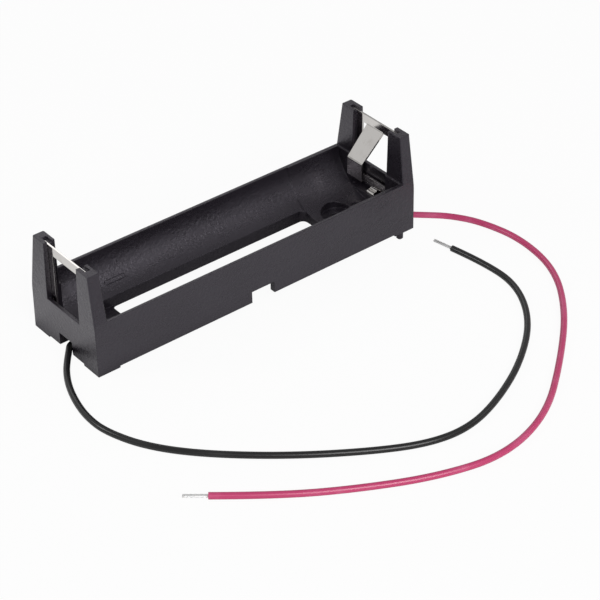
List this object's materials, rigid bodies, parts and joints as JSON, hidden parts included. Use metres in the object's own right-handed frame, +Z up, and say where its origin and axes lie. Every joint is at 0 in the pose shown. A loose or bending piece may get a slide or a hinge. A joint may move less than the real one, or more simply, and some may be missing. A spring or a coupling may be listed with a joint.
{
  "type": "cylindrical cell holder",
  "caption": "Moulded open cradle that holds a cylindrical cell between two folded spring contacts, with a soldered red and black lead for wiring it to a board.",
  "frame": {"origin": "middle of the holder in plan, at the height of the locating pegs' tips", "axes": "+X along the cell towards its positive end, +Z up out of the open side"},
  "size_m": [0.1029, 0.0847, 0.0235],
  "materials": {
    "body": "fine matt moulded black plastic",
    "contact": "bright nickel plate",
    "solder": "satin solder",
    "red_insulation": "smooth soft insulation",
    "black_insulation": "smooth soft insulation",
    "strands": "tinned twisted strands"
  },
  "bodies": {
    "root": {"holder_body": "body", "positive_contact": "contact", "negative_contact": "contact", "positive_solder_joint": "solder", "negative_solder_joint": "solder", "red_lead": "red_insulation", "red_lead_strands": "strands", "black_lead": "black_insulation", "black_lead_strands": "strands"}
  },
  "joints": []
}
